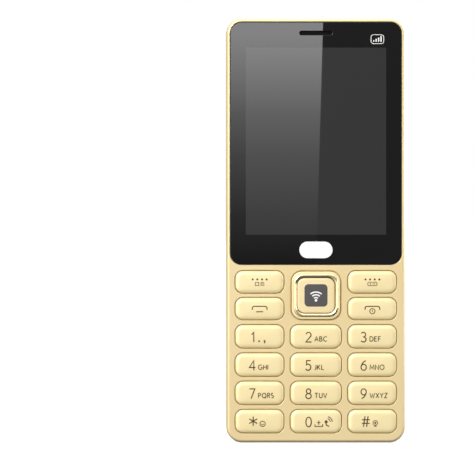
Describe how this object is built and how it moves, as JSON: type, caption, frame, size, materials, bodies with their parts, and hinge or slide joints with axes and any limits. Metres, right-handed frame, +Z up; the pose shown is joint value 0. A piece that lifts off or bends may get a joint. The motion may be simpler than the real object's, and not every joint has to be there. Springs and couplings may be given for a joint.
{
  "type": "keypad mobile phone",
  "caption": "Slim gold bar-shaped mobile phone with a tall black display window, square navigation key, number keypad and a clip-on rear cover with camera, flash and loudspeaker slots.",
  "frame": {"origin": "centre of the bounding box at the bottom edge, where the phone stands upright", "axes": "+Z up from the bottom edge to the earpiece, -Y out of the front face, +X to the right seen from the front"},
  "size_m": [0.0586, 0.0144, 0.1384],
  "materials": {
    "gold_body": "satin gold lacquer",
    "keycap": "satin pale gold with brown legends",
    "polished_gold": "polished gold plating",
    "ok_gold": "satin gold with a dark grey printed label",
    "island_gloss": "gloss gold",
    "window_glass": "polished black glass",
    "lens_glass": "clear",
    "black_gloss": "gloss black",
    "chrome_badge": "bright plating",
    "dark_plastic": "fine grain",
    "battery_label": "printed wrap",
    "rubber_grey": "matt",
    "board_green": "solder mask",
    "steel": "stamped",
    "white_plastic": "plain",
    "card_black": "plain"
  },
  "bodies": {
    "phone_body": {"front_housing": "gold_body", "display_window": "window_glass", "lcd_panel": "dark_plastic", "lcd_frame": "steel", "earpiece": "dark_plastic", "earpiece_mesh": "steel", "keypad_mat": "rubber_grey", "dome_sheet": "white_plastic", "main_board": "board_green", "microphone": "steel", "usb_port": "steel", "audio_jack": "dark_plastic", "vibration_motor": "steel", "loudspeaker": "dark_plastic", "camera_module": "dark_plastic", "flash_led": "white_plastic", "battery_connector": "dark_plastic", "sim_holder_1": "steel", "sim_holder_2": "steel", "memory_card_holder": "steel", "rear_housing": "dark_plastic", "antenna": "steel", "screw_upper_left": "steel", "screw_upper_right": "steel", "screw_lower_left": "steel", "screw_lower_right": "steel"},
    "cover": {"back_cover": "gold_body", "camera_island": "island_gloss", "camera_ring": "polished_gold", "camera_bezel": "black_gloss", "camera_window": "lens_glass", "flash_ring": "polished_gold", "flash_bezel": "black_gloss", "flash_window": "lens_glass", "speaker_mesh": "steel", "badge": "chrome_badge"},
    "battery": {"battery": "battery_label"},
    "sim_card_1": {"sim_card_1": "white_plastic"},
    "sim_card_2": {"sim_card_2": "white_plastic"},
    "memory_card": {"memory_card": "card_black"},
    "nav_rocker": {"nav_rocker": "rubber_grey"},
    "nav_ring": {"nav_ring": "polished_gold"},
    "ok_key": {"ok_key": "ok_gold"},
    "soft_key_left": {"soft_key_left": "keycap"},
    "soft_key_right": {"soft_key_right": "keycap"},
    "call_key": {"call_key": "keycap"},
    "end_key": {"end_key": "keycap"},
    "key_1": {"key_1": "keycap"},
    "key_2": {"key_2": "keycap"},
    "key_3": {"key_3": "keycap"},
    "key_4": {"key_4": "keycap"},
    "key_5": {"key_5": "keycap"},
    "key_6": {"key_6": "keycap"},
    "key_7": {"key_7": "keycap"},
    "key_8": {"key_8": "keycap"},
    "key_9": {"key_9": "keycap"},
    "key_star": {"key_star": "keycap"},
    "key_0": {"key_0": "keycap"},
    "key_hash": {"key_hash": "keycap"}
  },
  "joints": [
    {"name": "press_soft_key_left", "type": "slide", "parent": "phone_body", "child": "soft_key_left", "axis": [0, 1, 0], "range_m": [0, 0.0004], "stiffness_N_per_m": 1000, "springref_m": -0.0003},
    {"name": "press_soft_key_right", "type": "slide", "parent": "phone_body", "child": "soft_key_right", "axis": [0, 1, 0], "range_m": [0, 0.0004], "stiffness_N_per_m": 1000, "springref_m": -0.0003},
    {"name": "press_call_key", "type": "slide", "parent": "phone_body", "child": "call_key", "axis": [0, 1, 0], "range_m": [0, 0.0004], "stiffness_N_per_m": 1000, "springref_m": -0.0003},
    {"name": "press_end_key", "type": "slide", "parent": "phone_body", "child": "end_key", "axis": [0, 1, 0], "range_m": [0, 0.0004], "stiffness_N_per_m": 1000, "springref_m": -0.0003},
    {"name": "press_key_1", "type": "slide", "parent": "phone_body", "child": "key_1", "axis": [0, 1, 0], "range_m": [0, 0.0004], "stiffness_N_per_m": 1000, "springref_m": -0.0003},
    {"name": "press_key_2", "type": "slide", "parent": "phone_body", "child": "key_2", "axis": [0, 1, 0], "range_m": [0, 0.0004], "stiffness_N_per_m": 1000, "springref_m": -0.0003},
    {"name": "press_key_3", "type": "slide", "parent": "phone_body", "child": "key_3", "axis": [0, 1, 0], "range_m": [0, 0.0004], "stiffness_N_per_m": 1000, "springref_m": -0.0003},
    {"name": "press_key_4", "type": "slide", "parent": "phone_body", "child": "key_4", "axis": [0, 1, 0], "range_m": [0, 0.0004], "stiffness_N_per_m": 1000, "springref_m": -0.0003},
    {"name": "press_key_5", "type": "slide", "parent": "phone_body", "child": "key_5", "axis": [0, 1, 0], "range_m": [0, 0.0004], "stiffness_N_per_m": 1000, "springref_m": -0.0003},
    {"name": "press_key_6", "type": "slide", "parent": "phone_body", "child": "key_6", "axis": [0, 1, 0], "range_m": [0, 0.0004], "stiffness_N_per_m": 1000, "springref_m": -0.0003},
    {"name": "press_key_7", "type": "slide", "parent": "phone_body", "child": "key_7", "axis": [0, 1, 0], "range_m": [0, 0.0004], "stiffness_N_per_m": 1000, "springref_m": -0.0003},
    {"name": "press_key_8", "type": "slide", "parent": "phone_body", "child": "key_8", "axis": [0, 1, 0], "range_m": [0, 0.0004], "stiffness_N_per_m": 1000, "springref_m": -0.0003},
    {"name": "press_key_9", "type": "slide", "parent": "phone_body", "child": "key_9", "axis": [0, 1, 0], "range_m": [0, 0.0004], "stiffness_N_per_m": 1000, "springref_m": -0.0003},
    {"name": "press_key_star", "type": "slide", "parent": "phone_body", "child": "key_star", "axis": [0, 1, 0], "range_m": [0, 0.0004], "stiffness_N_per_m": 1000, "springref_m": -0.0003},
    {"name": "press_key_0", "type": "slide", "parent": "phone_body", "child": "key_0", "axis": [0, 1, 0], "range_m": [0, 0.0004], "stiffness_N_per_m": 1000, "springref_m": -0.0003},
    {"name": "press_key_hash", "type": "slide", "parent": "phone_body", "child": "key_hash", "axis": [0, 1, 0], "range_m": [0, 0.0004], "stiffness_N_per_m": 1000, "springref_m": -0.0003},
    {"name": "press_ok_key", "type": "slide", "parent": "phone_body", "child": "ok_key", "axis": [0, 1, 0], "range_m": [0, 0.0004], "stiffness_N_per_m": 1000, "springref_m": -0.0003},
    {"name": "nav_up_down", "type": "hinge", "parent": "phone_body", "child": "nav_rocker", "pos_m": [0, -0.0036, 0.0481], "axis": [1, 0, 0], "range_deg": [-1.5, 1.5], "stiffness_Nm_per_rad": 0.45},
    {"name": "nav_left_right", "type": "hinge", "parent": "nav_rocker", "child": "nav_ring", "pos_m": [0, -0.0036, 0.0481], "axis": [0, 0, 1], "range_deg": [-1.5, 1.5], "stiffness_Nm_per_rad": 0.45},
    {"name": "cover_pull_off", "type": "slide", "parent": "phone_body", "child": "cover", "axis": [0, 1, 0], "range_m": [0, 0.045]},
    {"name": "battery_lift_out", "type": "slide", "parent": "phone_body", "child": "battery", "axis": [0, 1, 0], "range_m": [0, 0.0225]},
    {"name": "sim_card_1_slide", "type": "slide", "parent": "phone_body", "child": "sim_card_1", "axis": [-1, 0, 0], "range_m": [0, 0.009]},
    {"name": "sim_card_2_slide", "type": "slide", "parent": "phone_body", "child": "sim_card_2", "axis": [-1, 0, 0], "range_m": [0, 0.009]},
    {"name": "memory_card_slide", "type": "slide", "parent": "phone_body", "child": "memory_card", "axis": [-1, 0, 0], "range_m": [0, 0.008]}
  ],
  "couplings": [
    {"joint": "battery_lift_out", "follows": "cover_pull_off", "ratio": 0.5}
  ]
}
